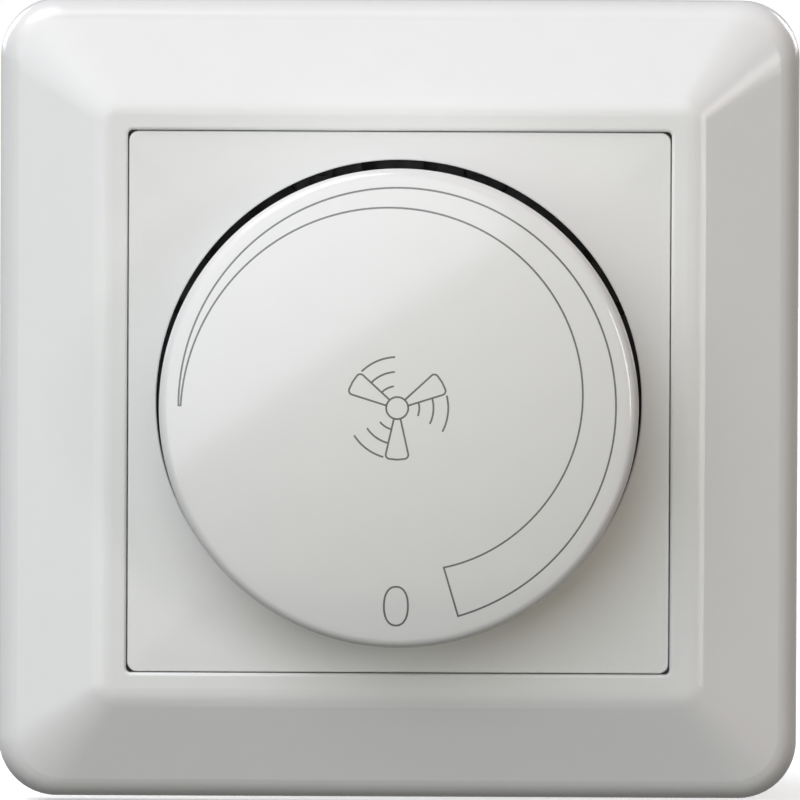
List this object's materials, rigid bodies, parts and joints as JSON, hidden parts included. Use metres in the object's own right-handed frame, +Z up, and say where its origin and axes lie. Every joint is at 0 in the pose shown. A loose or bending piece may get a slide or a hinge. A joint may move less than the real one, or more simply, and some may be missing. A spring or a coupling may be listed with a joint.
{
  "type": "fan speed control switch",
  "caption": "Flush-mounted rotary fan speed controller: square white cover frame and centre plate, large round knob with speed wedge print, steel support plate with claws and wired insert.",
  "frame": {"origin": "on the knob's axis in the plane of the wall", "axes": "front faces -Y, so +Y points into the wall; +Z is up the wall and +X to the right"},
  "size_m": [0.0816, 0.0483, 0.0816],
  "materials": {
    "trim_plastic": "gloss, moulded",
    "knob_plastic": "gloss, moulded, with thin grey print on the face",
    "black_plastic": "fine matt texture",
    "housing_plastic": "matt grey thermoset",
    "galvanised_steel": "zinc plated",
    "spring_steel": "blued",
    "turned_steel": "bright turned",
    "blackened_steel": "blackened",
    "brass": "plain",
    "bronze": "rolled strip",
    "tinned_brass": "tinned",
    "copper_wire": "enamelled",
    "aluminium": "plain",
    "iron_powder": "lacquered",
    "laminate": "phenolic laminate",
    "board_laminate": "solder mask",
    "component_black": "moulded",
    "component_yellow": "moulded",
    "component_red": "moulded",
    "component_beige": "lacquered",
    "fuse_glass": "clear",
    "diac_glass": "tinted",
    "trimmer_plastic": "moulded"
  },
  "bodies": {
    "insert": {"cover_frame": "trim_plastic", "centre_plate": "trim_plastic", "threaded_bush": "brass", "lock_washer": "spring_steel", "bush_nut": "brass", "pot_housing": "galvanised_steel", "track_wafer": "laminate", "pot_pins": "tinned_brass", "mains_switch": "component_black", "switch_pins": "tinned_brass", "support_plate": "galvanised_steel", "carrier": "black_plastic", "housing_screws": "blackened_steel", "insert_housing": "housing_plastic", "terminal_clamps": "brass", "terminal_screws": "galvanised_steel", "circuit_board": "board_laminate", "choke_core": "iron_powder", "choke_winding": "copper_wire", "suppression_capacitor": "component_yellow", "heat_sink": "aluminium", "triac": "component_black", "triac_screw": "galvanised_steel", "timing_capacitor": "component_red", "resistors": "component_beige", "diac": "diac_glass", "fuse_tube": "fuse_glass", "fuse_caps": "tinned_brass", "fuse_drawer": "black_plastic", "fuse_contacts": "bronze", "trimmer_body": "component_black"},
    "knob": {"knob": "knob_plastic", "knob_spring_clip": "spring_steel", "control_shaft": "turned_steel", "shaft_circlip": "spring_steel", "wiper_rotor": "component_black", "wiper_contact": "bronze"},
    "trimmer": {"trimmer_spindle": "trimmer_plastic"},
    "right_claw": {"claw_right": "galvanised_steel"},
    "left_claw": {"claw_left": "galvanised_steel"},
    "right_claw_screw": {"claw_screw_right": "galvanised_steel"},
    "left_claw_screw": {"claw_screw_left": "galvanised_steel"}
  },
  "joints": [
    {"name": "knob_turn", "type": "hinge", "parent": "insert", "child": "knob", "pos_m": [0, 0, 0], "axis": [0, 1, 0], "range_deg": [0, 270]},
    {"name": "trimmer_turn", "type": "hinge", "parent": "insert", "child": "trimmer", "pos_m": [0.012, 0, 0.01545], "axis": [0, 1, 0], "range_deg": [-135, 135]},
    {"name": "right_claw_swing", "type": "hinge", "parent": "insert", "child": "right_claw", "pos_m": [0.0243, 0.0026, 0], "axis": [0, 0, -1], "range_deg": [0, 18]},
    {"name": "left_claw_swing", "type": "hinge", "parent": "insert", "child": "left_claw", "pos_m": [-0.0243, 0.0026, 0], "axis": [0, 0, 1], "range_deg": [0, 18]},
    {"name": "right_claw_screw_drive", "type": "slide", "parent": "insert", "child": "right_claw_screw", "axis": [0, 1, 0], "range_m": [0, 0.00141]},
    {"name": "left_claw_screw_drive", "type": "slide", "parent": "insert", "child": "left_claw_screw", "axis": [0, 1, 0], "range_m": [0, 0.00141]}
  ],
  "couplings": [
    {"joint": "right_claw_screw_drive", "follows": "right_claw_swing", "m_per_rad": 0.0044924},
    {"joint": "left_claw_screw_drive", "follows": "left_claw_swing", "m_per_rad": 0.0044924}
  ]
}
